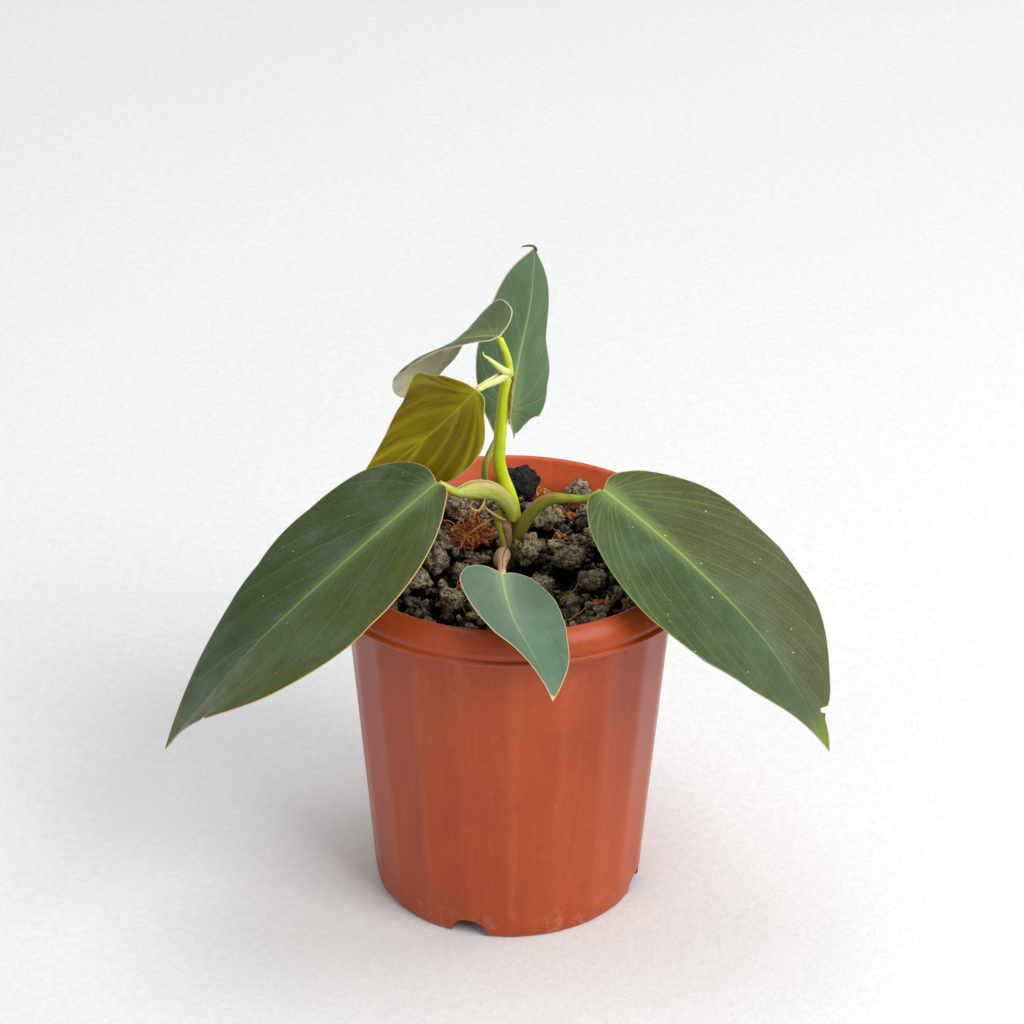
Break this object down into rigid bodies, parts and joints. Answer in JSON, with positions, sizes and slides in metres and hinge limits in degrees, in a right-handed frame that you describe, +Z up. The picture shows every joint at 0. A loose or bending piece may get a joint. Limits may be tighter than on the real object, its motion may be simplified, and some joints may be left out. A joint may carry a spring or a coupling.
{
  "type": "potted philodendron",
  "caption": "Young philodendron with heart-shaped leaves on a short stem, growing in gritty mix in a round nursery pot with a rolled lip and drainage notches.",
  "frame": {"origin": "middle of the pot's flat base, on the surface that it stands on", "axes": "+Z up the pot's axis; -Y the front, where the small blue-green leaf hangs over the lip; +X to the viewer's right"},
  "size_m": [0.203, 0.1469, 0.1974],
  "materials": {
    "pot": "satin moulded plastic",
    "potting_mix": "rough, gritty, damp",
    "lava": "rough, porous",
    "lava_black": "rough, porous",
    "coir": "matte tangled fibre",
    "root": "matte",
    "stem": "smooth, slightly waxy",
    "stem_low": "smooth, slightly waxy",
    "petiole": "smooth, slightly waxy",
    "petiole_pale": "smooth, slightly waxy",
    "sheath": "dry, papery",
    "leaf_dark": "soft satin with fine veins",
    "leaf_blue": "soft satin with a bluish bloom",
    "leaf_olive": "satin, translucent"
  },
  "bodies": {
    "root": {"aerial_root_long": "root", "aerial_root_loop": "root", "cataphyll": "petiole_pale", "coir_clump": "coir", "dry_scale": "sheath", "lava_01": "lava", "lava_02": "lava_black", "lava_03": "lava", "lava_04": "lava", "lava_05": "lava", "lava_06": "lava", "lava_07": "lava", "lava_08": "lava", "lava_09": "lava", "lava_10": "lava", "lava_11": "lava", "lava_12": "lava", "lava_13": "lava", "lava_14": "lava", "lava_15": "lava", "lava_16": "lava", "leaf_front": "leaf_blue", "leaf_left": "leaf_dark", "leaf_new": "leaf_olive", "leaf_rear": "leaf_blue", "leaf_right": "leaf_dark", "leaf_top": "leaf_blue", "lower_stem": "stem_low", "main_stem": "stem", "petiole_front": "petiole", "petiole_left": "petiole", "petiole_new": "petiole_pale", "petiole_rear": "petiole", "petiole_right": "petiole", "petiole_top": "petiole", "pot": "pot", "potting_mix": "potting_mix", "roots": "root", "stem_sheath": "sheath", "twig": "root"}
  },
  "joints": []
}
